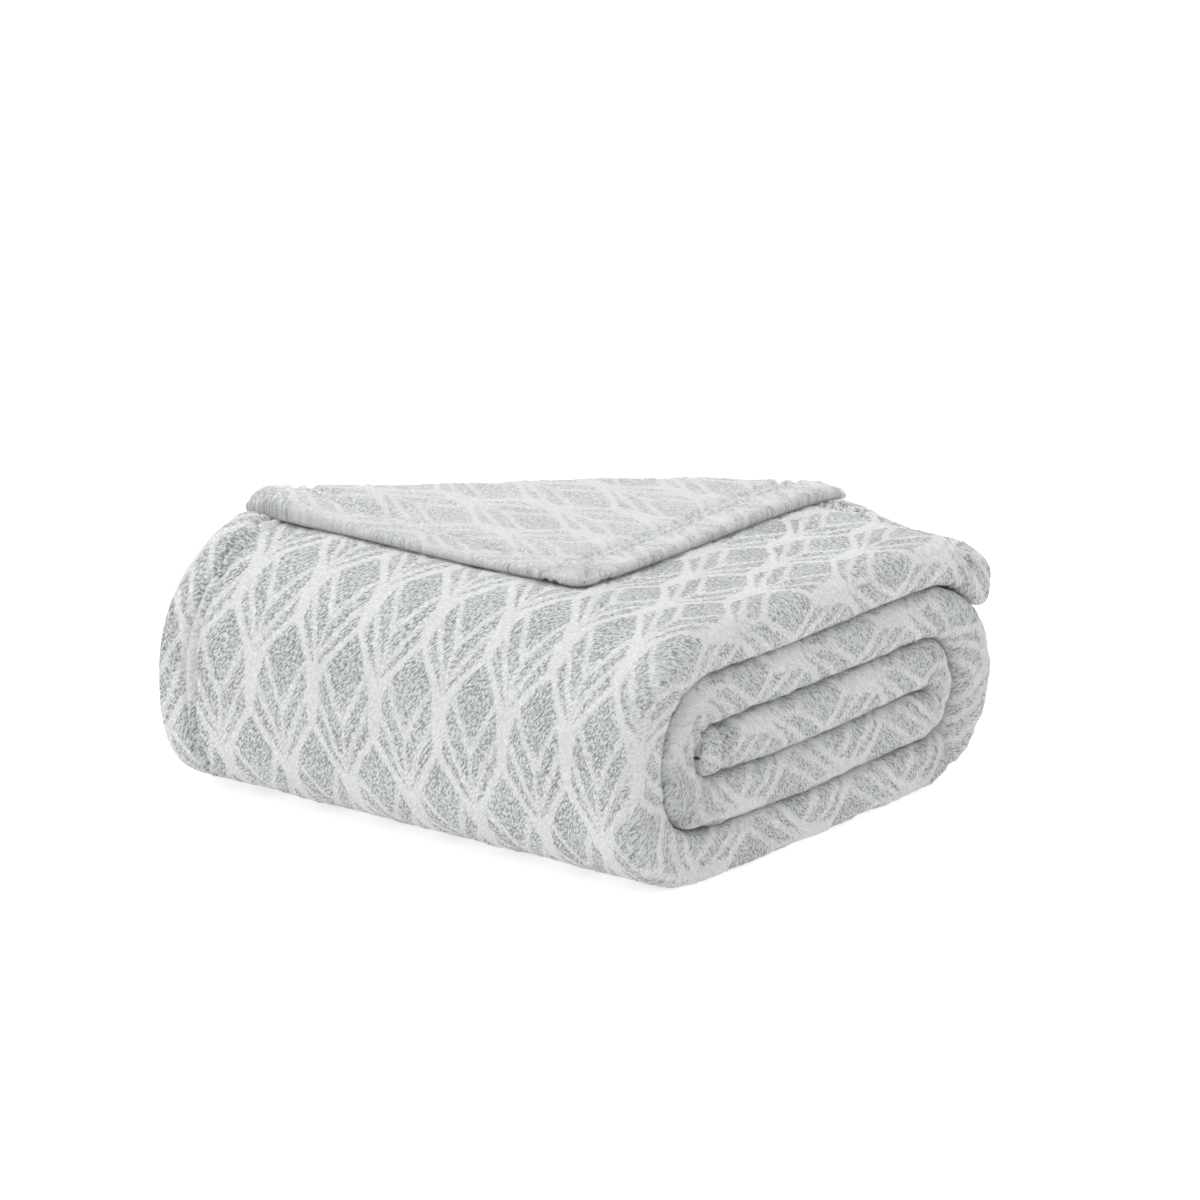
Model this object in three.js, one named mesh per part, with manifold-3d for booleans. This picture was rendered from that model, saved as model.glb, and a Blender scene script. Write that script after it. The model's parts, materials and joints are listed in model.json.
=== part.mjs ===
// A plush throw blanket, folded to four plies and rolled flat, with one corner turned back.
// Millimetres. +X runs along the roll, +Y from its front to its back, +Z up.
// The origin is on the ground, under the middle of the roll.

import * as THREE from 'three';
import * as BufferGeometryUtils from 'three/addons/utils/BufferGeometryUtils.js';
import Module from 'manifold-3d';

// ---------------------------------------------------------------- driving dimensions

const CLOTH_WIDTH = 1270;          // the open throw, across the four plies
const PLIES = 4;
const ROLL_DEPTH = 308;            // front of the roll to its back
const LAYERS = 5;                  // how many times the folded strip lies on itself
const LAYER_PITCH = 27.5;          // one layer of the roll and the gap above it
const LAYER_GAP = 0.3;             // between one layer and the next
const PLY_GAP = 0.4;               // between plies inside one layer
const SEAM_GAP = 0.3;              // between neighbouring stretches of the same strip
const CORNER_TO_TURN = 4.4;        // from the turned corner's side hem to where the front turn starts
const CORNER_RADIUS = 6;           // rounding of the turned corner's point
const END_SET_BACK = 9;            // how far the top layer's hemmed end stops short of the back
const INNER_HEM_SET_BACK = 4;      // the second ply's side hem, inside the first one
const HEM_ROWS = [18, 24];         // the two rows of stitches, from the hemmed edge
const THREAD_RADIUS = 0.5;
const THREAD_SIDES = 6;
const GROOVE_WIDTH = 2.0;          // the channel that a row of stitches pulls into the pile
const GROOVE_DEPTH = 1.6;
const FRONT_TURN_STEPS = 14;       // flats round each half turn; nested turns share them
const BACK_TURN_STEPS = 12;
const FOLD_STEPS = 8;              // flats round the fold of the whole strip
const SMALL_FOLD_STEPS = 6;        // flats round the folds inside it

// ---------------------------------------------------------------- sizes worked out from them

const STRIP_WIDTH = CLOTH_WIDTH / PLIES;
const LAYER = LAYER_PITCH - LAYER_GAP;
const PLY = (LAYER - (PLIES - 1) * PLY_GAP) / PLIES;
const PLY_PITCH = PLY + PLY_GAP;
const LEFT = -STRIP_WIDTH / 2;
const RIGHT = STRIP_WIDTH / 2;
const FRONT_CENTRE = -ROLL_DEPTH / 2 + 2 * LAYER_PITCH + LAYER / 2;
const BACK_CENTRE = ROLL_DEPTH / 2 - 1.5 * LAYER_PITCH - LAYER / 2;
const STRIP_END = ROLL_DEPTH / 2 - END_SET_BACK;
const CORNER_LEG = STRIP_END - FRONT_CENTRE - CORNER_TO_TURN;
const TOP = (LAYERS - 1) * LAYER_PITCH + LAYER;
const THREAD_DEPTH = GROOVE_DEPTH - LAYER_GAP - THREAD_RADIUS;
const FOLD_ROLL_RADIUS = PLY;
const HINGE_HEIGHT = TOP + LAYER_GAP / 2;
const HINGE_CLEARANCE = FOLD_ROLL_RADIUS + SEAM_GAP;
const DIAGONAL = new THREE.Vector2(1, 1).normalize();

const layerHeight = (level) => LAYER / 2 + level * LAYER_PITCH;

// ---------------------------------------------------------------- materials

const clothMaterial = () => new THREE.MeshStandardMaterial({
  color: 0xc9cccd,
  roughness: 0.95,
  metalness: 0,
});

const threadMaterial = () => new THREE.MeshStandardMaterial({
  color: 0xd6d9da,
  roughness: 0.7,
  metalness: 0,
});

// ---------------------------------------------------------------- solids

const wasm = await Module();
wasm.setup();

function toSolid(geometry) {
  const bare = geometry.index ? geometry.toNonIndexed() : geometry.clone();
  bare.deleteAttribute('normal');
  bare.deleteAttribute('uv');
  const merged = BufferGeometryUtils.mergeVertices(bare, 1e-4);
  return new wasm.Manifold(new wasm.Mesh({
    numProp: 3,
    vertProperties: new Float32Array(merged.attributes.position.array),
    triVerts: new Uint32Array(merged.index.array),
  }));
}

function toGeometry(solid) {
  const mesh = solid.getMesh();
  const geometry = new THREE.BufferGeometry();
  geometry.setAttribute('position', new THREE.BufferAttribute(mesh.vertProperties, 3));
  geometry.setIndex(new THREE.BufferAttribute(mesh.triVerts, 1));
  return geometry;
}

function cut(geometry, tools) {
  let solid = toSolid(geometry);
  for (const tool of tools) {
    solid = solid.subtract(toSolid(tool));
  }
  return toGeometry(solid);
}

function named(name, geometry, material) {
  const mesh = new THREE.Mesh(geometry, material);
  mesh.name = name;
  return mesh;
}

// ---------------------------------------------------------------- paths

// A path through listed stations. Each station holds a point, the way on, and the
// section's own x and y directions there, so a section is swept without twisting.
class StationPath extends THREE.Curve {
  constructor(stations) {
    super();
    this.stations = stations;
  }

  get steps() {
    return this.stations.length - 1;
  }

  station(u) {
    return this.stations[Math.round(u * this.steps)];
  }

  getPoint(u, target = new THREE.Vector3()) {
    return target.copy(this.station(u).point);
  }

  getPointAt(u, target) {
    return this.getPoint(u, target);
  }

  computeFrenetFrames() {
    return {
      tangents: this.stations.map((s) => s.forward.clone()),
      normals: this.stations.map((s) => s.across.clone()),
      binormals: this.stations.map((s) => s.outward.clone()),
    };
  }
}

function sweep(shape, stations) {
  const path = new StationPath(stations);
  return new THREE.ExtrudeGeometry(shape, { extrudePath: path, steps: path.steps, curveSegments: 1 });
}

// Stations in the plane of the roll's end: angle 0 faces the back, 90 degrees faces up.
function rollStation(y, z, angle) {
  const outward = new THREE.Vector3(0, Math.cos(angle), Math.sin(angle));
  const across = new THREE.Vector3(1, 0, 0);
  return { point: new THREE.Vector3(0, y, z), outward, across, forward: across.clone().cross(outward) };
}

function flatStations(level, fromY, toY) {
  const angle = toY < fromY ? Math.PI / 2 : -Math.PI / 2;
  return [fromY, toY].map((y) => rollStation(y, layerHeight(level), angle));
}

function turnStations(fromLevel, toLevel, centreY, startAngle, steps) {
  const radius = Math.abs(toLevel - fromLevel) * LAYER_PITCH / 2;
  const centreZ = (layerHeight(fromLevel) + layerHeight(toLevel)) / 2;
  return Array.from({ length: steps + 1 }, (_, i) => {
    const angle = startAngle + Math.PI * i / steps;
    return rollStation(centreY + radius * Math.cos(angle), centreZ + radius * Math.sin(angle), angle);
  });
}

// The strip's whole course from its outer end, at the back of the top layer, to its
// inner end in the core: five flat layers joined by four half turns.
const COURSE = [
  { name: 'top_layer', stations: flatStations(4, STRIP_END, FRONT_CENTRE + SEAM_GAP) },
  { name: 'front_turn', stations: turnStations(4, 0, FRONT_CENTRE, Math.PI / 2, FRONT_TURN_STEPS) },
  { name: 'bottom_layer', stations: flatStations(0, FRONT_CENTRE + SEAM_GAP, BACK_CENTRE - SEAM_GAP) },
  { name: 'back_turn', stations: turnStations(0, 3, BACK_CENTRE, -Math.PI / 2, BACK_TURN_STEPS) },
  { name: 'upper_inner_layer', stations: flatStations(3, BACK_CENTRE - SEAM_GAP, FRONT_CENTRE + SEAM_GAP) },
  { name: 'inner_front_turn', stations: turnStations(3, 1, FRONT_CENTRE, Math.PI / 2, FRONT_TURN_STEPS) },
  { name: 'lower_inner_layer', stations: flatStations(1, FRONT_CENTRE + SEAM_GAP, BACK_CENTRE - SEAM_GAP) },
  { name: 'inner_back_turn', stations: turnStations(1, 2, BACK_CENTRE, -Math.PI / 2, BACK_TURN_STEPS) },
  { name: 'core_layer', stations: flatStations(2, BACK_CENTRE - SEAM_GAP, FRONT_CENTRE + SEAM_GAP) },
];

// ---------------------------------------------------------------- the folded strip's section

const plyCentre = (ply) => LAYER / 2 - PLY / 2 - (ply - 1) * PLY_PITCH;

// Centre line of the cloth through one layer, with the side of it that faces out.
function foldedCentreLine() {
  const line = [];
  const add = (x, y, angle) => line.push({ x, y, nx: Math.cos(angle), ny: Math.sin(angle) });
  const halfTurn = (centreX, centreY, radius, startAngle, sweepAngle, steps) => {
    const facing = sweepAngle < 0 ? 0 : Math.PI;
    for (let i = 0; i <= steps; i += 1) {
      const angle = startAngle + sweepAngle * i / steps;
      add(centreX + radius * Math.cos(angle), centreY + radius * Math.sin(angle), angle + facing);
    }
  };
  const stripFold = LAYER / 2 - PLY / 2;
  const plyFold = PLY_PITCH / 2;
  const rightCentre = RIGHT - LAYER / 2;
  const leftCentre = LEFT + PLY / 2 + plyFold;
  add(LEFT, plyCentre(1), Math.PI / 2);
  halfTurn(rightCentre, 0, stripFold, Math.PI / 2, -Math.PI, FOLD_STEPS);
  halfTurn(leftCentre, (plyCentre(4) + plyCentre(3)) / 2, plyFold, -Math.PI / 2, -Math.PI, SMALL_FOLD_STEPS);
  halfTurn(rightCentre, 0, plyFold, -Math.PI / 2, Math.PI, SMALL_FOLD_STEPS);
  add(LEFT + INNER_HEM_SET_BACK, plyCentre(2), -Math.PI / 2);
  return line;
}

// One layer of the strip: the cloth's closed outline through all four plies, with the
// two channels of the side hem's stitches in the outer face of the first ply.
function foldedSection() {
  const line = foldedCentreLine();
  const outerFace = line.map((p) => new THREE.Vector2(p.x + p.nx * PLY / 2, p.y + p.ny * PLY / 2));
  const innerFace = line.map((p) => new THREE.Vector2(p.x - p.nx * PLY / 2, p.y - p.ny * PLY / 2));
  const [edge, ...rest] = outerFace;
  const channels = HEM_ROWS.flatMap((row) => {
    const near = edge.x + row - GROOVE_WIDTH / 2;
    const far = near + GROOVE_WIDTH;
    const floor = edge.y - GROOVE_DEPTH;
    return [
      new THREE.Vector2(near, edge.y),
      new THREE.Vector2(near, floor),
      new THREE.Vector2(far, floor),
      new THREE.Vector2(far, edge.y),
    ];
  });
  return new THREE.Shape([edge, ...channels, ...rest, ...innerFace.reverse()]);
}

// ---------------------------------------------------------------- the turned corner

// The hinge line runs from the left edge to the back edge, at 45 degrees to both hems.
const HINGE_FRONT = new THREE.Vector2(LEFT, STRIP_END - CORNER_LEG);
const HINGE_BACK = new THREE.Vector2(LEFT + CORNER_LEG, STRIP_END);

function prism(points, fromZ, toZ) {
  const geometry = new THREE.ExtrudeGeometry(new THREE.Shape(points), {
    depth: toZ - fromZ,
    bevelEnabled: false,
    curveSegments: 6,
  });
  geometry.translate(0, 0, fromZ);
  return geometry;
}

// Where ply one is missing from the top layer, because its corner is turned over.
function missingCorner() {
  const margin = 10;
  const clear = HINGE_CLEARANCE * Math.SQRT2;
  const back = STRIP_END + margin;
  const left = LEFT - margin;
  const points = [
    new THREE.Vector2(left, HINGE_FRONT.y - margin - clear),
    new THREE.Vector2(HINGE_BACK.x + margin + clear, back),
    new THREE.Vector2(left, back),
  ];
  return prism(points, TOP - PLY - PLY_GAP / 2, TOP + margin);
}

// The corner lying on the top layer, cloth's underside up: a right-angled triangle with
// a rounded point, its long side kept clear of the fold.
function cornerOutline() {
  const tip = new THREE.Vector2(HINGE_BACK.x, HINGE_FRONT.y);
  const clear = HINGE_CLEARANCE * Math.SQRT2;
  const shape = new THREE.Shape();
  shape.moveTo(HINGE_FRONT.x + clear, tip.y);
  shape.lineTo(tip.x - CORNER_RADIUS, tip.y);
  shape.absarc(tip.x - CORNER_RADIUS, tip.y + CORNER_RADIUS, CORNER_RADIUS, -Math.PI / 2, 0, false);
  shape.lineTo(tip.x, HINGE_BACK.y - clear);
  shape.closePath();
  return shape.extractPoints(6).shape;
}

// ---------------------------------------------------------------- rows of stitches

function roundSection(radius) {
  return new THREE.Shape(new THREE.EllipseCurve(0, 0, radius, radius).getPoints(THREAD_SIDES).slice(0, -1));
}

function channelSection() {
  const half = GROOVE_WIDTH / 2;
  const low = THREAD_DEPTH - GROOVE_DEPTH;
  const high = THREAD_DEPTH + PLY_GAP / 2;
  return new THREE.Shape([
    new THREE.Vector2(-half, low),
    new THREE.Vector2(half, low),
    new THREE.Vector2(half, high),
    new THREE.Vector2(-half, high),
  ]);
}

// A level path given by its corners, which are rounded; the section stays upright.
function levelStations(corners, z, radius) {
  const up = new THREE.Vector3(0, 0, 1);
  const stations = [];
  const add = (x, y, direction) => stations.push({
    point: new THREE.Vector3(x, y, z),
    forward: direction.clone(),
    outward: up.clone(),
    across: up.clone().cross(direction),
  });
  const bendSteps = 4;
  corners.forEach((corner, i) => {
    const before = corners[i - 1];
    const after = corners[i + 1];
    const arriving = before && new THREE.Vector3(corner.x - before.x, corner.y - before.y, 0).normalize();
    const leaving = after && new THREE.Vector3(after.x - corner.x, after.y - corner.y, 0).normalize();
    if (!before || !after) {
      add(corner.x, corner.y, arriving || leaving);
      return;
    }
    for (let k = 0; k <= bendSteps; k += 1) {
      const turn = (Math.PI / 2) * k / bendSteps;
      const x = corner.x + radius * (leaving.x * (1 - Math.cos(turn)) - arriving.x * (1 - Math.sin(turn)));
      const y = corner.y + radius * (leaving.y * (1 - Math.cos(turn)) - arriving.y * (1 - Math.sin(turn)));
      const direction = arriving.clone().multiplyScalar(Math.cos(turn)).addScaledVector(leaving, Math.sin(turn));
      add(x, y, direction);
    }
  });
  return stations;
}

// Round the strip's fold at the right: along the top face, over the fold, to its underside.
function overFoldStations(fromX, y, depth) {
  const centreX = RIGHT - LAYER / 2;
  const centreZ = layerHeight(LAYERS - 1);
  const radius = LAYER / 2 - depth;
  const along = new THREE.Vector3(0, 1, 0);
  const add = (x, z, angle) => {
    const outward = new THREE.Vector3(Math.cos(angle), 0, Math.sin(angle));
    return { point: new THREE.Vector3(x, y, z), outward, across: along.clone(), forward: along.clone().cross(outward) };
  };
  const bend = Array.from({ length: FOLD_STEPS + 1 }, (_, i) => {
    const angle = Math.PI / 2 - Math.PI * i / FOLD_STEPS;
    return add(centreX + radius * Math.cos(angle), centreZ + radius * Math.sin(angle), angle);
  });
  return [add(fromX, centreZ + radius, Math.PI / 2), ...bend];
}

// Side hem of ply one, from the fold of the corner along the strip's whole course.
function sideHemStations(row) {
  const start = HINGE_FRONT.y + row - HINGE_CLEARANCE * Math.SQRT2 - GROOVE_WIDTH;
  const offset = LAYER / 2 - THREAD_DEPTH;
  const stations = COURSE.flatMap((stretch) => stretch.stations);
  stations[0] = rollStation(start, layerHeight(LAYERS - 1), Math.PI / 2);
  return stations.map((s) => ({
    ...s,
    point: s.point.clone().addScaledVector(s.outward, offset).setX(LEFT + row),
  }));
}

// Second ply's hems where the turned corner uncovers them, round that ply's own corner.
function secondPlyHemStations(row, height) {
  const x = LEFT + INNER_HEM_SET_BACK + row;
  const y = STRIP_END - row;
  const corners = [
    new THREE.Vector2(x, FRONT_CENTRE + 2 * SEAM_GAP),
    new THREE.Vector2(x, y),
    new THREE.Vector2(RIGHT - LAYER / 2, y),
  ];
  return levelStations(corners, height, CORNER_RADIUS);
}

// Turned corner's hems, round its point, on the face that now lies up.
function cornerHemStations(row, height) {
  const tip = new THREE.Vector2(HINGE_BACK.x - row, HINGE_FRONT.y + row);
  const clear = HINGE_CLEARANCE * Math.SQRT2 + GROOVE_WIDTH;
  const corners = [
    new THREE.Vector2(HINGE_FRONT.x + row + clear, tip.y),
    tip,
    new THREE.Vector2(tip.x, HINGE_BACK.y - row - clear),
  ];
  return levelStations(corners, height, CORNER_RADIUS);
}

const thread = (stations) => sweep(roundSection(THREAD_RADIUS), stations);
const channel = (stations) => sweep(channelSection(), stations);

// ---------------------------------------------------------------- the pieces

const SECOND_PLY_TOP = TOP - PLY_PITCH;
const CORNER_BOTTOM = TOP + LAYER_GAP;
const CORNER_TOP = CORNER_BOTTOM + PLY;
const END_HEM_START = HINGE_BACK.x + HINGE_CLEARANCE * Math.SQRT2 + GROOVE_WIDTH;

function stripPieces() {
  const section = foldedSection();
  const channels = HEM_ROWS.flatMap((row) => [
    channel(overFoldStations(END_HEM_START - row, STRIP_END - row, THREAD_DEPTH)),
    channel(secondPlyHemStations(row, SECOND_PLY_TOP - THREAD_DEPTH)),
  ]);
  return COURSE.map(({ name, stations }) => {
    const whole = sweep(section, stations);
    const geometry = name === 'top_layer' ? cut(whole, [missingCorner(), ...channels]) : whole;
    return named(name, geometry, clothMaterial());
  });
}

// The bend itself: a round bead of cloth on the hinge line, which the corner turns about.
function cornerFold() {
  const length = HINGE_FRONT.distanceTo(HINGE_BACK) - 2 * FOLD_ROLL_RADIUS;
  const bead = named('corner_fold', new THREE.CylinderGeometry(FOLD_ROLL_RADIUS, FOLD_ROLL_RADIUS, length, 16),
    clothMaterial());
  const middle = HINGE_FRONT.clone().add(HINGE_BACK).divideScalar(2);
  bead.position.set(middle.x, middle.y, HINGE_HEIGHT);
  bead.rotation.z = Math.atan2(DIAGONAL.y, DIAGONAL.x) - Math.PI / 2;
  return bead;
}

function turnedCorner() {
  const plain = prism(cornerOutline(), CORNER_BOTTOM, CORNER_TOP);
  const channels = HEM_ROWS.map((row) => channel(cornerHemStations(row, CORNER_TOP - THREAD_DEPTH)));
  return named('turned_corner', cut(plain, channels), clothMaterial());
}

function stitchRows() {
  return HEM_ROWS.flatMap((row, i) => [
    named(`side_hem_stitches_${i + 1}`, thread(sideHemStations(row)), threadMaterial()),
    named(`end_hem_stitches_${i + 1}`,
      thread(overFoldStations(END_HEM_START - row, STRIP_END - row, THREAD_DEPTH)), threadMaterial()),
    named(`second_ply_stitches_${i + 1}`,
      thread(secondPlyHemStations(row, SECOND_PLY_TOP - THREAD_DEPTH)), threadMaterial()),
    named(`turned_corner_stitches_${i + 1}`,
      thread(cornerHemStations(row, CORNER_TOP - THREAD_DEPTH)), threadMaterial()),
  ]);
}

const throwBlanket = new THREE.Group();
throwBlanket.add(...stripPieces(), cornerFold(), turnedCorner(), ...stitchRows());

export default throwBlanket;
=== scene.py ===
"""A plush throw, folded to four plies and rolled flat, with one corner turned back over the top."""

import json
import logging
import math
from collections.abc import Callable
from dataclasses import dataclass, field
from enum import Enum

import bmesh
import bpy
import numpy as np
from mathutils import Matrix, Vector, noise


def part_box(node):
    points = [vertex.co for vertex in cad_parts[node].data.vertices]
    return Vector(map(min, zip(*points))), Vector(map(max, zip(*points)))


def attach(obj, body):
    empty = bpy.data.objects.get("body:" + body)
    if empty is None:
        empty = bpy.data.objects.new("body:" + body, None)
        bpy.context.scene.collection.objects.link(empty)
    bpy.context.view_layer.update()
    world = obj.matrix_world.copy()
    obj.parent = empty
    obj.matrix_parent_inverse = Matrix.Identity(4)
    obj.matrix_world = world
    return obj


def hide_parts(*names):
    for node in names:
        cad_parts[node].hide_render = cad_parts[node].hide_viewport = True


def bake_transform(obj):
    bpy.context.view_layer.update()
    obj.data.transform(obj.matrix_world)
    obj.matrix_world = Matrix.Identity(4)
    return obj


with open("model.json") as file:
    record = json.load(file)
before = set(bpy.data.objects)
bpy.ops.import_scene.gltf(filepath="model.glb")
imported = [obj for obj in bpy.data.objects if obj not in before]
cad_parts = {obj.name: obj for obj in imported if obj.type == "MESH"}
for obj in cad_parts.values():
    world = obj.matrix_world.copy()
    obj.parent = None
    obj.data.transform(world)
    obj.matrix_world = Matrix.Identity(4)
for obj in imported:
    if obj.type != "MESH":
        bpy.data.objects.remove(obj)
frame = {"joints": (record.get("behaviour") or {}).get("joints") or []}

log = logging.getLogger("throw")

MM = 0.001
SEED = 7


# ------------------------------------------------------------------ small helpers


def smooth(low: float, high: float, value: np.ndarray) -> np.ndarray:
    """A smooth step.

    Args:
        low: where the step starts.
        high: where it ends; it may be lower than low, for a step down.
        value: the numbers to step.

    Returns:
        Numbers from 0 to 1.
    """
    t = np.clip((np.asarray(value, float) - low) / (high - low), 0.0, 1.0)
    return t * t * (3.0 - 2.0 * t)


def bump(centre: float, width: float, value: np.ndarray) -> np.ndarray:
    """A round hump.

    Args:
        centre: where the hump is highest.
        width: how far from there it has fallen to about a third.
        value: the numbers to shape.

    Returns:
        Numbers from 0 to 1.
    """
    return np.exp(-(((np.asarray(value, float) - centre) / width) ** 2))


def soft_noise(points: np.ndarray, size: float, seed: float) -> np.ndarray:
    """Smooth noise at every point.

    Args:
        points: an N by 3 array, in metres.
        size: the size of the noise's bumps, in metres.
        seed: shifts the noise, so that two fields differ.

    Returns:
        N numbers, mostly between -1 and 1.
    """
    shifted = points / size + seed * 17.31
    return np.array([noise.noise(Vector(p)) for p in shifted])


def spaced(start: float, end: float, step: float) -> list[float]:
    """Even stations from start to just short of end, about step apart.

    Args:
        start: the first station.
        end: where the next run starts.
        step: the spacing wanted.

    Returns:
        The stations, without the end.
    """
    count = max(1, round(abs(end - start) / step))
    return [start + (end - start) * i / count for i in range(count)]


def hinge_place() -> Vector:
    """Where the turned corner's hinge is, from the frame."""
    return Vector(next(joint for joint in frame["joints"] if joint["name"] == "corner_turn_back")["pos_m"])


def add_object(name: str, data: bpy.types.ID) -> bpy.types.Object:
    """Puts a new object into the scene.

    Args:
        name: the object's name.
        data: its mesh, camera or light.

    Returns:
        The object.
    """
    made = bpy.data.objects.new(name, data)
    bpy.context.scene.collection.objects.link(made)
    return made


def mesh_object(name: str, mesh: bmesh.types.BMesh) -> bpy.types.Object:
    """Turns a finished bmesh into an object in the scene.

    Args:
        name: the object's name.
        mesh: its shape, which is freed.

    Returns:
        The object.
    """
    data = bpy.data.meshes.new(name)
    mesh.to_mesh(data)
    mesh.free()
    return add_object(name, data)


class Side(Enum):
    """The two faces of the cloth."""

    FACE = 1
    BACK = -1


# ------------------------------------------------------------------ the course of the cloth


class Course:
    """A plane curve walked by its own length, with the direction that faces out."""

    def __init__(self, points: list[tuple[float, float]], out_angle: float) -> None:
        """Measures the curve.

        Args:
            points: the curve's points, close together.
            out_angle: the turn from the way on to the way out, in radians.
        """
        self.points = np.array(points)
        steps = np.linalg.norm(np.diff(self.points, axis=0), axis=1)
        keep = np.concatenate([[True], steps > 1e-7])
        self.points = self.points[keep]
        steps = np.linalg.norm(np.diff(self.points, axis=0), axis=1)
        self.stations = np.concatenate([[0.0], np.cumsum(steps)])
        ways = np.gradient(self.points, self.stations, axis=0)
        ways /= np.linalg.norm(ways, axis=1, keepdims=True)
        turn = np.array(
            [[math.cos(out_angle), -math.sin(out_angle)], [math.sin(out_angle), math.cos(out_angle)]]
        )
        self.outs = ways @ turn.T

    @property
    def length(self) -> float:
        """The whole length of the curve."""
        return float(self.stations[-1])

    def at(self, along: np.ndarray) -> tuple[np.ndarray, np.ndarray]:
        """Places on the curve.

        Args:
            along: distances along it.

        Returns:
            N by 2 points, and N by 2 unit vectors that face out.
        """
        point = np.stack([np.interp(along, self.stations, self.points[:, k]) for k in (0, 1)], axis=-1)
        out = np.stack([np.interp(along, self.stations, self.outs[:, k]) for k in (0, 1)], axis=-1)
        out /= np.linalg.norm(out, axis=-1, keepdims=True)
        return point, out


def arc(
    centre: tuple[float, float], reach: tuple[float, float], start: float, sweep: float, power: float = 2.0
) -> list[tuple[float, float]]:
    """Points round part of an ellipse, or of a squarer curve.

    Args:
        centre: the middle of the curve.
        reach: how far it reaches each way.
        start: the angle that it starts at, in degrees.
        sweep: the angle that it turns through, in degrees.
        power: 2 for an ellipse; more makes the corners squarer.

    Returns:
        The points.
    """
    angles = np.radians(start + sweep * np.linspace(0.0, 1.0, 97))
    cos, sin = np.cos(angles), np.sin(angles)
    shape = 2.0 / power
    x = centre[0] + reach[0] * np.sign(cos) * np.abs(cos) ** shape
    y = centre[1] + reach[1] * np.sign(sin) * np.abs(sin) ** shape
    return list(zip(x.tolist(), y.tolist()))


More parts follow.
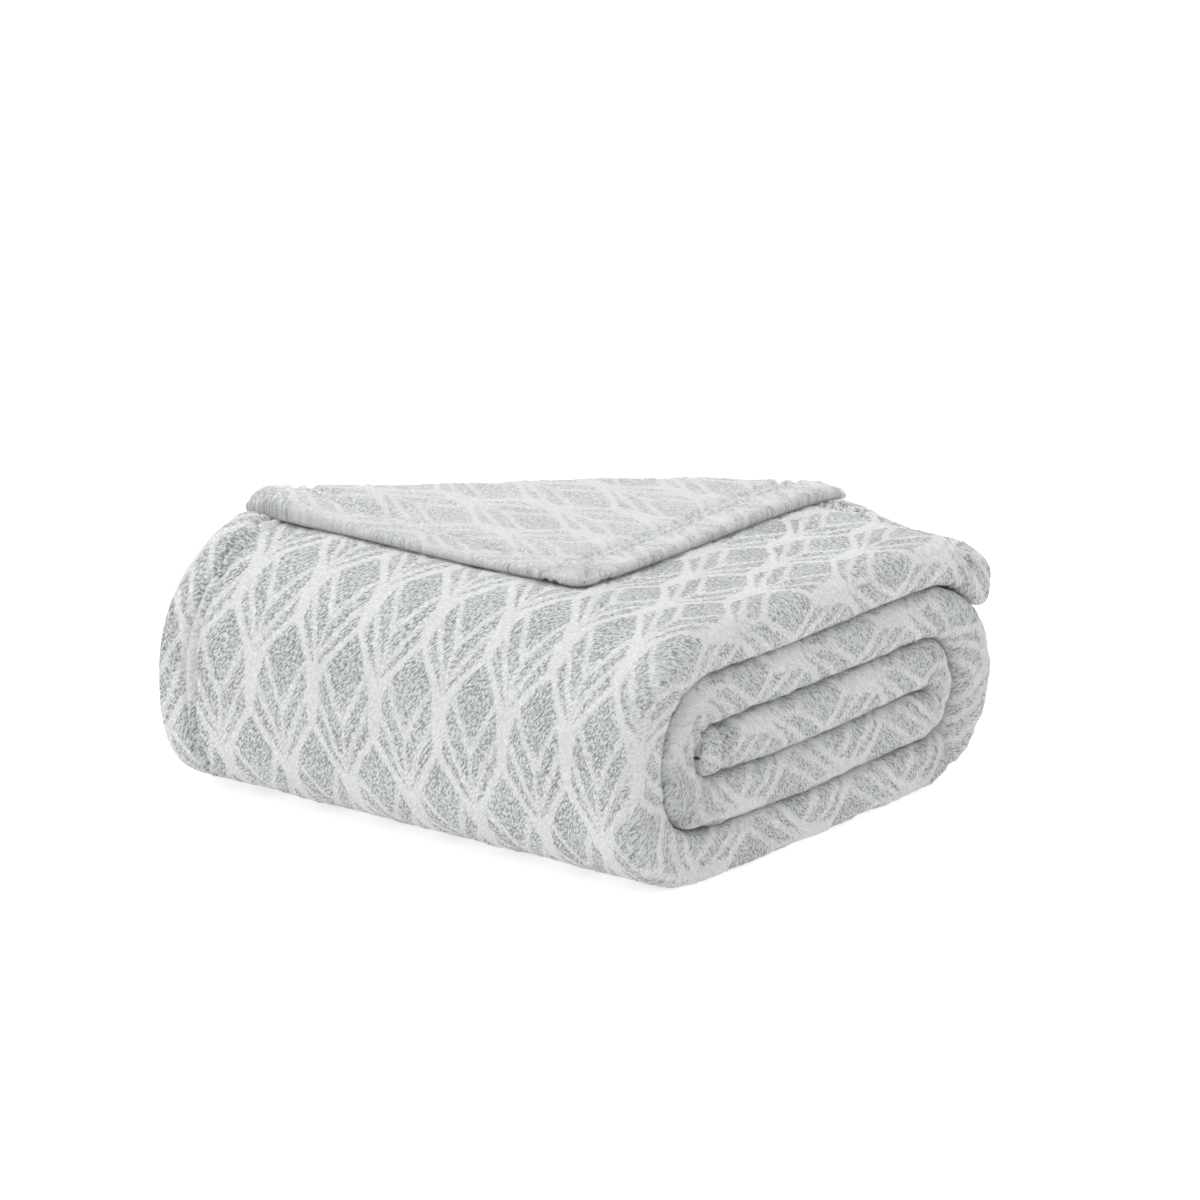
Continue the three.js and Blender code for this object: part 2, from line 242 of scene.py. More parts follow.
@dataclass
class FoldedRoll:
    """The shape that the cloth takes: four plies across, and five layers along the roll."""

    plies: int = 4
    layers: int = 5
    ply_gap: float = 0.4 * MM
    fold_squareness: float = 3.5
    inner_hem_set_back: float = 4 * MM
    core_reach: float = 14 * MM
    end_rounding: float = 9 * MM
    end_pinch: float = 0.12
    heel_squareness: float = 2.6
    back_droop: float = 23 * MM
    droop_power: float = 2.2
    back_reach: float = 9 * MM
    back_tilt: float = 0.25
    corner_sag: float = 31 * MM
    sag_start: float = 22 * MM
    sag_run: float = 138 * MM
    sag_power: float = 1.5
    front_bulge: float = 5 * MM
    bulge_run: float = 65 * MM
    back_bulge: float = 4.5 * MM
    wander: float = 1.6 * MM
    wander_size: float = 110 * MM
    end_stagger: float = 2.6 * MM
    floor_gap: float = 0.2 * MM
    stagger_size: float = 140 * MM
    stagger_run: float = 90 * MM
    left: float = field(init=False)
    right: float = field(init=False)
    top: float = field(init=False)
    end_y: float = field(init=False)
    front_y: float = field(init=False)
    back_y: float = field(init=False)
    fold_line: float = field(init=False)
    layer: float = field(init=False)
    pitch: float = field(init=False)
    ply: float = field(init=False)
    across: Course = field(init=False)
    along: Course = field(init=False)

    def __post_init__(self) -> None:
        """Takes the roll's sizes from the frame and lays out both courses of the cloth."""
        low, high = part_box("top_layer")
        bottom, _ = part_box("bottom_layer")
        self.left, self.right = low.x, high.x
        self.end_y = high.y
        self.layer = high.z - low.z
        self.pitch = (low.z - bottom.z) / (self.layers - 1)
        self.top = high.z
        pivot = hinge_place()
        self.fold_line = pivot.y - pivot.x
        self.front_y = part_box("front_turn")[1].y
        self.back_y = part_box("back_turn")[0].y
        self.ply = (self.layer - (self.plies - 1) * self.ply_gap) / self.plies
        self.across = Course(self._across_points(), math.pi / 2)
        self.along = Course(self._along_points(), -math.pi / 2)

    def _across_points(self) -> list[tuple[float, float]]:
        """The cloth's middle through the four plies, from the upper hem to the lower one.

        Returns:
            Points as (x, height above the strip's middle).
        """
        step = self.ply + self.ply_gap
        heights = [1.5 * step, 0.5 * step, -0.5 * step, -1.5 * step]
        right = self.right - self.layer / 2
        left = self.left + self.ply / 2 + step / 2
        reach = self.layer / 2 - self.ply / 2
        points = [(self.left, heights[0])]
        points += arc((right, 0.0), (reach, 1.5 * step), 90, -180, self.fold_squareness)
        points += arc((left, -step), (step / 2, step / 2), 270, -180)
        points += arc((right, 0.0), (step / 2, step / 2), -90, 180)
        points.append((self.left + self.inner_hem_set_back, heights[1]))
        return points

    def level(self, number: int) -> float:
        """Height of the middle of a layer, counted from 0 at the bottom."""
        return self.layer / 2 + number * self.pitch

    def _along_points(self) -> list[tuple[float, float]]:
        """The strip's middle from its outer end to its inner one.

        Returns:
            Points as (y, z).
        """
        front, back, pitch = self.front_y, self.back_y, self.pitch
        turns = [(4, 0, front, 90), (0, 3, back, -90), (3, 1, front, 90), (1, 2, back, -90)]
        points = [(self.end_y, self.level(4))]
        for first, last, centre, start in turns:
            radius = abs(first - last) * pitch / 2
            middle = (self.level(first) + self.level(last)) / 2
            points += arc((centre, middle), (radius, radius), start, 180)
        points.append((front - self.core_reach, self.level(2)))
        return points

    # -------------------------------------------------------------- reshaping the whole roll

    def _square_heel(self, points: np.ndarray) -> np.ndarray:
        """The weight of the roll squares its lower front, where it rests.

        Args:
            points: N by 3 places.

        Returns:
            The places moved.
        """
        middle = self.level(2)
        y = np.minimum(points[:, 1] - self.front_y, 0.0)
        z = np.minimum(points[:, 2] - middle, 0.0)
        reach = np.hypot(y, z) + 1e-9
        power = self.heel_squareness
        corner = np.abs(y / reach) ** power + np.abs(z / reach) ** power
        factor = np.where(reach > 1 * MM, np.maximum(corner, 0.1) ** (-1.0 / power), 1.0)
        moved = points.copy()
        moved[:, 1] += y * (factor - 1.0)
        moved[:, 2] += z * (factor - 1.0)
        return moved

    def _droop_end(self, points: np.ndarray, top_layer: np.ndarray) -> np.ndarray:
        """The loose end of the top layer bends down over the shoulder of the back turn.

        Args:
            points: N by 3 places.
            top_layer: N numbers, 1 for the top layer and what lies on it, 0 elsewhere.

        Returns:
            The places moved.
        """
        toward_right = (points[:, 0] - self.left) / (self.right - self.left)
        weight = smooth(0.60, 0.98, toward_right) * top_layer
        run = self.end_y - self.back_y + 2 * MM
        power = self.droop_power
        past = np.clip((points[:, 1] - (self.end_y - run)) / run, 0.0, 1.15)
        drop = self.back_droop * past**power * weight
        slope = np.arctan(power * self.back_droop / run * past ** (power - 1.0) * weight)
        above = points[:, 2] - self.level(4)
        moved = points.copy()
        moved[:, 1] += above * np.sin(slope) * self.back_tilt + self.back_reach * past * weight
        moved[:, 2] -= drop
        return moved

    def _sag_corner(self, points: np.ndarray) -> np.ndarray:
        """The loose hems at the back left corner settle lower than the folded sides.

        Args:
            points: N by 3 places.

        Returns:
            The places moved.
        """
        behind = (points[:, 1] - points[:, 0] - self.fold_line) / math.sqrt(2.0)
        depth = np.clip((behind - self.sag_start) / self.sag_run, 0.0, 1.2) ** self.sag_power
        moved = points.copy()
        moved[:, 2] -= self.corner_sag * depth * np.clip(points[:, 2] / self.top, 0.0, 1.05)
        return moved

    def _plump_turns(self, points: np.ndarray) -> np.ndarray:
        """The outer turns are plumper at the folded side.

        Args:
            points: N by 3 places.

        Returns:
            The places moved.
        """
        toward_right = (points[:, 0] - self.left) / (self.right - self.left)
        reach = np.hypot(points[:, 1] - self.front_y, points[:, 2] - self.level(2))
        inner = 1.0 - smooth(1.3 * self.pitch, 2.0 * self.pitch, reach)
        near = 1.0 - smooth(self.front_y, self.front_y + self.bulge_run, points[:, 1])
        outer = smooth(0.8 * self.pitch, 1.7 * self.pitch, points[:, 1] - self.back_y)
        below = smooth(self.level(4), self.level(3), points[:, 2])
        push = self.front_bulge * inner * near + self.back_bulge * outer * below
        moved = points.copy()
        moved[:, 1] += push * smooth(0.7, 1.0, toward_right)
        return moved

    def reshape(self, points: np.ndarray, top_layer: np.ndarray) -> np.ndarray:
        """Gives the folded cloth its settled, hand-folded shape.

        Args:
            points: N by 3 places as folded.
            top_layer: N numbers, 1 for the top layer and what lies on it, 0 elsewhere.

        Returns:
            The places moved.
        """
        moved = self._plump_turns(points)
        moved = self._square_heel(moved)
        moved = self._droop_end(moved, top_layer)
        moved = self._sag_corner(moved)
        for axis, seed in ((0, 1.0), (1, 2.0), (2, 3.0)):
            drift = self.wander * soft_noise(points, self.wander_size, seed)
            if axis == 2:
                drift *= smooth(0.0, 60 * MM, points[:, 2])
            moved[:, axis] += drift
        moved[:, 2] = np.maximum(moved[:, 2], self.floor_gap)
        return moved

    def fold(self, across: np.ndarray, along: np.ndarray, height: np.ndarray) -> np.ndarray:
        """Folds the flat cloth.

        Args:
            across: distances from the upper side hem.
            along: distances from the outer end hem.
            height: distances from the cloth's middle towards its face.

        Returns:
            N by 3 places.
        """
        section, section_out = self.across.at(across)
        middle, out = self.along.at(along)
        rounding = self.end_rounding
        close = np.minimum(self.along.length - along, along + 0.35 * rounding)
        pinch = np.sqrt(np.clip(1.0 - (1.0 - np.clip(close / rounding, 0.0, 1.0)) ** 2, 0.0, 1.0))
        pinch = self.end_pinch + (1.0 - self.end_pinch) * pinch
        lift = (section[:, 1] + section_out[:, 1] * height) * pinch
        x = section[:, 0] + section_out[:, 0] * height
        ramp = smooth(self.right - self.stagger_run, self.right, x)
        stagger = np.stack([along, along * 0.0, along * 0.0], axis=-1)
        x = x + ramp * self.end_stagger * soft_noise(stagger, self.stagger_size, 5.0)
        y = middle[:, 0] + out[:, 0] * lift
        z = middle[:, 1] + out[:, 1] * lift
        return np.stack([x, y, z], axis=-1)


# ------------------------------------------------------------------ finishes


class Wire:
    """A value in a node tree, so that shader sums read as sums."""

    def __init__(self, tree: bpy.types.NodeTree, socket: bpy.types.NodeSocket) -> None:
        """Holds one output socket of a tree."""
        self.tree = tree
        self.socket = socket

    def math(self, operation: str, *others: "Wire | float") -> "Wire":
        """Adds a Math node.

        Args:
            operation: the node's operation.
            others: its second and third inputs.

        Returns:
            The result.
        """
        node = self.tree.nodes.new("ShaderNodeMath")
        node.operation = operation
        for slot, value in zip(node.inputs, (self, *others)):
            if isinstance(value, Wire):
                self.tree.links.new(value.socket, slot)
            else:
                slot.default_value = value
        return Wire(self.tree, node.outputs[0])

    def __add__(self, other: "Wire | float") -> "Wire":
        """The sum."""
        return self.math("ADD", other)

    def __sub__(self, other: "Wire | float") -> "Wire":
        """The difference."""
        return self.math("SUBTRACT", other)

    def __rsub__(self, other: float) -> "Wire":
        """The difference from a number."""
        return self.math("MULTIPLY_ADD", -1.0, other)

    def __mul__(self, other: "Wire | float") -> "Wire":
        """The product."""
        return self.math("MULTIPLY", other)

    def __truediv__(self, other: "Wire | float") -> "Wire":
        """The quotient."""
        return self.math("DIVIDE", other)

    def __abs__(self) -> "Wire":
        """The size, without its sign."""
        return self.math("ABSOLUTE")

    def to_nearest(self) -> "Wire":
        """The distance to the nearest whole number, with its sign."""
        return self - self.math("ROUND")

    def top(self, other: "Wire | float") -> "Wire":
        """The larger of two."""
        return self.math("MAXIMUM", other)

    def smooth_top(self, other: "Wire", blend: float) -> "Wire":
        """The larger of two, rounded where they cross."""
        return self.math("SMOOTH_MAX", other, blend)

    def step(self, low: float, high: float) -> "Wire":
        """A smooth step from 0 at low to 1 at high.

        Args:
            low: where the step starts.
            high: where it ends; it may be lower than low.

        Returns:
            The stepped value.
        """
        node = self.tree.nodes.new("ShaderNodeMapRange")
        node.interpolation_type = "SMOOTHSTEP"
        node.inputs["To Min"].default_value = 0.0 if low < high else 1.0
        node.inputs["To Max"].default_value = 1.0 if low < high else 0.0
        node.inputs["From Min"].default_value = min(low, high)
        node.inputs["From Max"].default_value = max(low, high)
        self.tree.links.new(self.socket, node.inputs["Value"])
        return Wire(self.tree, node.outputs["Result"])


class Group:
    """A shader node group being made, with named inputs and outputs."""

    def __init__(self, name: str, inputs: dict[str, str], outputs: dict[str, str]) -> None:
        """Starts the group.

        Args:
            name: the group's name.
            inputs: input names and their socket types.
            outputs: output names and their socket types.
        """
        self.tree = bpy.data.node_groups.new(name, "ShaderNodeTree")
        for label, kind in inputs.items():
            self.tree.interface.new_socket(label, in_out="INPUT", socket_type=kind)
        for label, kind in outputs.items():
            self.tree.interface.new_socket(label, in_out="OUTPUT", socket_type=kind)
        self.source = self.tree.nodes.new("NodeGroupInput")
        self.sink = self.tree.nodes.new("NodeGroupOutput")

    def input(self, name: str) -> Wire:
        """One of the group's inputs."""
        return Wire(self.tree, self.source.outputs[name])

    def give(self, name: str, value: Wire) -> None:
        """Sends a value to one of the group's outputs."""
        self.tree.links.new(value.socket, self.sink.inputs[name])

    def split(self, vector: Wire) -> tuple[Wire, Wire, Wire]:
        """The three parts of a vector.

        Args:
            vector: the vector.

        Returns:
            Its x, y and z.
        """
        node = self.tree.nodes.new("ShaderNodeSeparateXYZ")
        self.tree.links.new(vector.socket, node.inputs[0])
        x, y, z = (Wire(self.tree, socket) for socket in node.outputs)
        return x, y, z

    def join(self, x: Wire, y: Wire, z: Wire | float) -> Wire:
        """A vector from three parts.

        Args:
            x: the first part.
            y: the second part.
            z: the third part.

        Returns:
            The vector.
        """
        node = self.tree.nodes.new("ShaderNodeCombineXYZ")
        for slot, value in zip(node.inputs, (x, y, z)):
            if isinstance(value, Wire):
                self.tree.links.new(value.socket, slot)
            else:
                slot.default_value = value
        return Wire(self.tree, node.outputs[0])

    def noise(self, vector: Wire, scale: float, detail: float = 2.0, roughness: float = 0.5) -> Wire:
        """Noise from 0 to 1, about one half.

        Args:
            vector: where it is read.
            scale: bumps for each unit of the vector.
            detail: how many finer layers it has.
            roughness: how strong those are.

        Returns:
            The noise.
        """
        node = self.tree.nodes.new("ShaderNodeTexNoise")
        node.inputs["Scale"].default_value = scale
        node.inputs["Detail"].default_value = detail
        node.inputs["Roughness"].default_value = roughness
        self.tree.links.new(vector.socket, node.inputs["Vector"])
        return Wire(self.tree, node.outputs["Fac"])


@dataclass(frozen=True)
class LeafPrint:
    """The printed leaves: a half-drop lattice of leaves with white outlines, ribs and veins."""

    pitch: float = 42.0
    period: float = 88.0
    arch: float = 1.35
    shoulder: float = 0.33
    outline: float = 2.2
    knot: float = 3.6
    knot_width: float = 5.5
    knot_height: float = 11.0
    vein: float = 1.8
    veins: float = 4.7
    vein_slope: float = 0.80
    vein_top: float = 0.40
    vein_strength: float = 0.85
    rib: float = 1.9
    rib_length: float = 0.46
    fullness: float = 0.88
    softness: float = 1.3
    wobble: float = 3.0
    wobble_scale: float = 70.0
    ragged: float = 2.0
    ragged_scale: float = 330.0

    def _leaf(self, across: Wire, along: Wire, shift: float) -> tuple[Wire, Wire, Wire]:
        """One of the lattice's two sets of leaves.

        Args:
            across: position across the leaves, in pitches.
            along: position along the leaves, in periods.
            shift: 0 for one set, and 0.5 for the set between.

        Returns:
            Distance from the leaf's middle line, height up the leaf, and depth inside its edge
            in millimetres.
        """
        side = abs((across + shift).to_nearest())
        height = (along + shift).math("FRACT")
        lower = (height / self.shoulder).math("MINIMUM", 1.0).math("POWER", self.arch) * 0.5
        rise = ((height - 0.5) / self.shoulder).top(0.0).math("MINIMUM", 1.0)
        upper = 0.5 - rise.math("POWER", self.arch) * 0.5
        is_upper = height.math("GREATER_THAN", 0.5)
        half_width = lower + (upper - lower) * is_upper
        return side, height, (half_width - side) * (self.pitch * self.fullness)

    def _knot(self, side: Wire, height: Wire, at: float) -> Wire:
        """A soft blob where four leaves meet.

        Args:
            side: distance from the blob's column, in pitches.
            height: height up the leaf, in periods.
            at: the blob's own height.

        Returns:
            A value that is 1 in the middle of the blob and falls to 0.
        """
        wide = (side * (self.pitch / self.knot_width)).math("POWER", 2.0)
        tall = ((height - at) * (self.period / self.knot_height)).math("POWER", 2.0)
        return ((wide + tall) * -1.0).math("EXPONENT")

    def group(self) -> bpy.types.NodeTree:
        """Builds the print's node group.

        Returns:
            The group: flat cloth coordinates in, and a mask that is 1 on the white out.
        """
        made = Group("leaf print", {"Cloth": "NodeSocketVector"}, {"White": "NodeSocketFloat"})
        x, y, _ = made.split(made.input("Cloth"))
        sway_x = made.noise(made.input("Cloth"), self.wobble_scale, 1.0) - 0.5
        sway_y = made.noise(made.join(y, x, 3.0), self.wobble_scale, 1.0) - 0.5
        x_mm = x * (1.0 / MM) + sway_x * self.wobble
        y_mm = y * (-1.0 / MM) + sway_y * self.wobble
        across, along = x_mm / self.pitch, y_mm / self.period
        side_a, height_a, depth_a = self._leaf(across, along, 0.0)
        side_b, height_b, depth_b = self._leaf(across, along, 0.5)
        in_a = depth_a.math("GREATER_THAN", depth_b)
        side = side_b + (side_a - side_b) * in_a
        height = height_b + (height_a - height_b) * in_a
        depth = depth_a.top(depth_b)
        rise = height - side * self.vein_slope
        beat = (rise * self.veins + 0.35).to_nearest()
        to_vein = abs(beat) * (self.period / self.veins * 0.55)
        vein = self.vein - to_vein - rise.step(self.vein_top, self.vein_top + 0.07) * 9.0
        rib = ((1.0 - height / self.rib_length).top(0.0) * self.rib + 0.4) - side * self.pitch
        rib = rib - height.step(self.rib_length - 0.05, self.rib_length + 0.05) * 9.0
        ends = self._knot(side, height, 0.0) + self._knot(side, height, 1.0)
        near = ends + self._knot(0.5 - side, height, 0.5)
        outline = near * self.knot + self.outline - depth
        ragged = (made.noise(made.input("Cloth"), self.ragged_scale, 3.0, 0.75) - 0.5) * self.ragged
        border = (outline + ragged).step(-self.softness, self.softness)
        soft = self.softness * 0.8
        inside = (vein.smooth_top(rib, 1.2) + ragged * 0.6).step(-soft, soft)
        made.give("White", border.top(inside * self.vein_strength))
        return made.tree


@dataclass(frozen=True)
class Pile:
    """The brushed pile: fine tufts that lean one way, in soft patches."""

    tuft: float = 1000.0
    lean: float = 0.50
    swirl: float = 22.0
    patch: float = 40.0
    patch_depth: float = 0.12
    fleck: float = 640.0
    fleck_depth: float = 0.16

    def group(self) -> bpy.types.NodeTree:
        """Builds the pile's node group.

        Returns:
            The group: flat cloth coordinates in; height, and painted shade about 0, out.
        """
        made = Group(
            "brushed pile",
            {"Cloth": "NodeSocketVector", "Place": "NodeSocketVector", "Bend": "NodeSocketFloat"},
            {"Height": "NodeSocketFloat", "Shade": "NodeSocketFloat"},
        )
        x, y, _ = made.split(made.input("Cloth"))
        swirl = (made.noise(made.input("Cloth"), self.swirl, 1.0) - 0.5) * 0.016
        combed = made.join((x - y + swirl) * (self.lean * 0.7), (x + y) * 0.7, 0.0)
        tufts = made.noise(combed, self.tuft, 2.0, 0.6).step(0.34, 0.66)
        fine = made.noise(made.input("Place"), self.tuft * 2.2, 2.0, 0.6).step(0.28, 0.72)
        clumps = made.noise(combed, self.tuft * 0.4, 2.0, 0.6).step(0.3, 0.7)
        patches = made.noise(made.input("Cloth"), self.patch, 2.0, 0.5).step(0.25, 0.75)
        bend = made.input("Bend")
        height = tufts * 0.55 + fine * (bend * 0.35 + 0.27) + clumps * (bend * 0.25 + 0.18)
        made.give("Height", height)
        # painted shade: dark flecks in the gaps where the pile opens at bends
        fleck = made.noise(made.input("Place"), self.fleck, 2.0, 0.6).step(0.50, 0.66) * bend
        # painted shade of the pile's relief, darker where the tufts are low and lighter on their tops,
        # with patches of tone at random
        shade = (height - 0.5) - bend * 0.12 + (patches - 0.5) * self.patch_depth
        made.give("Shade", shade - fleck * self.fleck_depth)
        return made.tree


@dataclass(frozen=True)
class PlushCloth:
    """The throw's own cloth: pale grey leaves and off-white lines on brushed pile, with the pile's painted
    shade in its colour.
    """

    name: str
    grey: tuple[float, float, float] = (0.565, 0.582, 0.588)
    white: tuple[float, float, float] = (0.83, 0.842, 0.842)
    print_strength: float = 1.0
    painted_pile_shade: float = 2.0
    white_calm: float = 0.8
    darkest: float = 0.4
    brightest: float = 1.4
    relief: float = 1.3 * MM
    sheen: float = 0.35

    def material(self, leaf: bpy.types.NodeTree, pile: bpy.types.NodeTree) -> bpy.types.Material:
        """Builds the material.

        Args:
            leaf: the print's node group.
            pile: the pile's node group.

        Returns:
            The material.
        """
        made = bpy.data.materials.new(self.name)
        made.use_nodes = True
        tree = made.node_tree
        shader = tree.nodes["Principled BSDF"]
        cloth = tree.nodes.new("ShaderNodeUVMap")
        cloth.uv_map = "cloth"
        place = tree.nodes.new("ShaderNodeTexCoord")
        print_node = tree.nodes.new("ShaderNodeGroup")
        print_node.node_tree = leaf
        pile_node = tree.nodes.new("ShaderNodeGroup")
        pile_node.node_tree = pile
        tree.links.new(cloth.outputs["UV"], print_node.inputs["Cloth"])
        tree.links.new(cloth.outputs["UV"], pile_node.inputs["Cloth"])
        tree.links.new(place.outputs["Object"], pile_node.inputs["Place"])
        bend = tree.nodes.new("ShaderNodeAttribute")
        bend.attribute_name = "bend"
        tree.links.new(bend.outputs["Fac"], pile_node.inputs["Bend"])
        white = Wire(tree, print_node.outputs["White"]) * self.print_strength
        shade = Wire(tree, pile_node.outputs["Shade"])
        base = tree.nodes.new("ShaderNodeMix")
        base.data_type = "RGBA"
        base.inputs["A"].default_value = (*self.grey, 1.0)
        base.inputs["B"].default_value = (*self.white, 1.0)
        tree.links.new(white.socket, base.inputs["Factor"])
        painted_shade_mix = tree.nodes.new("ShaderNodeMix")
        painted_shade_mix.data_type = "RGBA"
        painted_shade_mix.blend_type = "MULTIPLY"
        painted_shade_mix.inputs["Factor"].default_value = 1.0
        tree.links.new(base.outputs["Result"], painted_shade_mix.inputs["A"])
        # painted shade: the pile's shade darkens and lightens the print's colour, less on the white lines,
        # kept between darkest and brightest
        depth = self.painted_pile_shade - white * (self.painted_pile_shade * self.white_calm)
        ceiling = self.brightest - white * (self.brightest - 1.0 / max(self.white))
        painted_pile_shade = (shade * depth + 1.0).math("MAXIMUM", self.darkest).math("MINIMUM", ceiling)
        colour = tree.nodes.new("ShaderNodeCombineColor")
        for slot in colour.inputs[:3]:
            tree.links.new(painted_pile_shade.socket, slot)
        tree.links.new(colour.outputs[0], painted_shade_mix.inputs["B"])
        tree.links.new(painted_shade_mix.outputs["Result"], shader.inputs["Base Color"])
        relief = tree.nodes.new("ShaderNodeBump")
        relief.inputs["Distance"].default_value = self.relief
        tree.links.new(pile_node.outputs["Height"], relief.inputs["Height"])
        tree.links.new(relief.outputs["Normal"], shader.inputs["Normal"])
        shader.inputs["Roughness"].default_value = 0.95
        shader.inputs["Specular IOR Level"].default_value = 0.15
        shader.inputs["Sheen Weight"].default_value = self.sheen
        shader.inputs["Sheen Roughness"].default_value = 0.55
        return made


@dataclass(frozen=True)
class SewingThread:
    """Matt polyester thread."""

    name: str = "sewing thread"
    colour: tuple[float, float, float] = (0.70, 0.715, 0.72)

    def material(self) -> bpy.types.Material:
        """Builds the material.

        Returns:
            The material, with a fine twist in its surface.
        """
        made = bpy.data.materials.new(self.name)
        made.use_nodes = True
        tree = made.node_tree
        shader = tree.nodes["Principled BSDF"]
        place = tree.nodes.new("ShaderNodeTexCoord")
        twist = tree.nodes.new("ShaderNodeTexNoise")
        twist.inputs["Scale"].default_value = 2500.0
        relief = tree.nodes.new("ShaderNodeBump")
        relief.inputs["Distance"].default_value = 0.2 * MM
        tree.links.new(place.outputs["Object"], twist.inputs["Vector"])
        tree.links.new(twist.outputs["Fac"], relief.inputs["Height"])
        tree.links.new(relief.outputs["Normal"], shader.inputs["Normal"])
        shader.inputs["Base Color"].default_value = (*self.colour, 1.0)
        shader.inputs["Roughness"].default_value = 0.7
        return made


# ------------------------------------------------------------------ cloth pieces


@dataclass
class ClothSlab:
    """A flat piece of the cloth as a closed slab, ready to be folded.

    Its x runs across the cloth, its y along it, and its z is 1 on the face and -1 on the back.
    """

    columns: list[float]
    rows: list[float]

    def whole(self) -> bmesh.types.BMesh:
        """Builds the slab, uncut.

        Returns:
            A closed mesh of quads.
        """
        made = bmesh.new()
        counts = len(self.columns) - 1, len(self.rows) - 1
        bmesh.ops.create_grid(made, x_segments=counts[0], y_segments=counts[1], size=0.5)
        for axis, stations in ((0, self.columns), (1, self.rows)):
            last = len(stations) - 1
            for vert in made.verts:
                vert.co[axis] = stations[round((vert.co[axis] + 0.5) * last)]
        bmesh.ops.translate(made, vec=(0.0, 0.0, 1.0), verts=made.verts[:])
        face_side = set(made.verts)
        bmesh.ops.solidify(made, geom=made.faces[:], thickness=2.0)
        for vert in made.verts:
            vert.co.z = 1.0 if vert in face_side else -1.0
        bmesh.ops.recalc_face_normals(made, faces=made.faces[:])
        return made

    def cut(self, leg: float, way: float) -> bmesh.types.BMesh:
        """Builds the slab and cuts it along a diagonal at its corner.

        Args:
            leg: how far the cut's ends are from the corner, along both sides.
            way: -1 to take the corner off, 1 to keep only the corner.

        Returns:
            A closed mesh.
        """
        made = self.whole()
        bmesh.ops.bisect_plane(
            made,
            geom=made.verts[:] + made.edges[:] + made.faces[:],
            dist=1e-6,
            plane_co=(leg, 0.0, 0.0),
            plane_no=(way, way, 0.0),
            clear_outer=True,
        )
        bmesh.ops.holes_fill(made, edges=[edge for edge in made.edges if edge.is_boundary], sides=0)
        return made


def refine(
    mesh: bmesh.types.BMesh, side: Side, wanted: Callable[[float, float], bool], shortest: float, cuts: int
) -> None:
    """Splits the quads of one region of a slab, along both ways.

    Args:
        mesh: the slab.
        side: the face that is refined.
        wanted: a test of (across, along) that says which points are in the region.
        shortest: edges shorter than this stay whole.
        cuts: how many cuts each longer edge gets.
    """
    def chosen(vert: bmesh.types.BMVert) -> bool:
        """Whether a corner of the slab is in the region."""
        return vert.co.z * side.value > 0.5 and wanted(vert.co.x, vert.co.y)

    for axis in (1, 0):
        edges = [
            edge
            for edge in mesh.edges
            if abs(edge.verts[0].co[axis] - edge.verts[1].co[axis]) > shortest
            and chosen(edge.verts[0])
            and chosen(edge.verts[1])
        ]
        bmesh.ops.subdivide_edges(mesh, edges=edges, cuts=cuts, use_grid_fill=True)


def flat_points(mesh: bmesh.types.BMesh) -> tuple[np.ndarray, np.ndarray, np.ndarray]:
    """Reads a slab's vertices.

    Args:
        mesh: the flat slab.

    Returns:
        Their distances across and along the cloth, and their sides.
    """
    across, along, side = np.array([tuple(vert.co) for vert in mesh.verts]).T
    return across, along, side


def finish_mesh(
    mesh: bmesh.types.BMesh, name: str, places: np.ndarray, bend: np.ndarray
) -> bpy.types.Object:
    """Turns a folded slab into an object, with the flat cloth kept as its UV map.

    Args:
        mesh: the flat slab.
        name: the object's name.
        places: where each vertex goes.
        bend: how tightly the cloth is bent there, from 0 to 1; its pile opens there, and its painted shade
            is darker there.

    Returns:
        The object.
    """
    opening = mesh.verts.layers.float.new("bend")
    layer = mesh.loops.layers.uv.new("cloth")
    for face in mesh.faces:
        face.smooth = True
        for loop in face.loops:
            loop[layer].uv = (loop.vert.co.x, loop.vert.co.y)
    for vert, place, amount in zip(mesh.verts, places, bend):
        vert.co = place
        vert[opening] = amount
    bmesh.ops.remove_doubles(mesh, verts=mesh.verts[:], dist=0.02 * MM)
    bmesh.ops.recalc_face_normals(mesh, faces=mesh.faces[:])
    return mesh_object(name, mesh)


@dataclass
class Hem:
    """A double-stitched hem: how thick the cloth is near its edge."""

    rows: tuple[float, ...] = (18 * MM, 24 * MM)
    swell: float = 1.7 * MM
    dent: float = 2.7 * MM
    dent_width: float = 1.6 * MM
    rim: float = 4.0 * MM
    sewn: float = 14 * MM
    zone: float = 29 * MM

    def rim_stations(self) -> list[float]:
        """Distances from the edge that resolve its rounded rim."""
        return [0.0, 0.35 * MM, 1.1 * MM, 2.1 * MM, 3.3 * MM]

    def stations(self) -> list[float]:
        """Distances from the edge that resolve the rim and the stitch rows."""
        plain = spaced(5.5 * MM, self.sewn, 2.8 * MM)
        return self.rim_stations() + plain + spaced(self.sewn, self.zone, 1.0 * MM)

    def thickness(self, distance: np.ndarray, half: float) -> np.ndarray:
        """Half the cloth's thickness near the hem.

        Args:
            distance: distances from the edge.
            half: half the thickness elsewhere.

        Returns:
            Half thicknesses.
        """
        inside = 1.0 - smooth(self.rows[0] - 4 * MM, self.rows[0], distance)
        grown = half + self.swell * inside * smooth(0.0, 7 * MM, distance)
        for row in self.rows:
            grown = grown - self.dent * bump(row, self.dent_width, distance)
        edge = np.clip(distance / self.rim, 0.0, 1.0)
        return grown * np.sqrt(np.clip(1.0 - (1.0 - edge) ** 2, 0.0, 1.0))


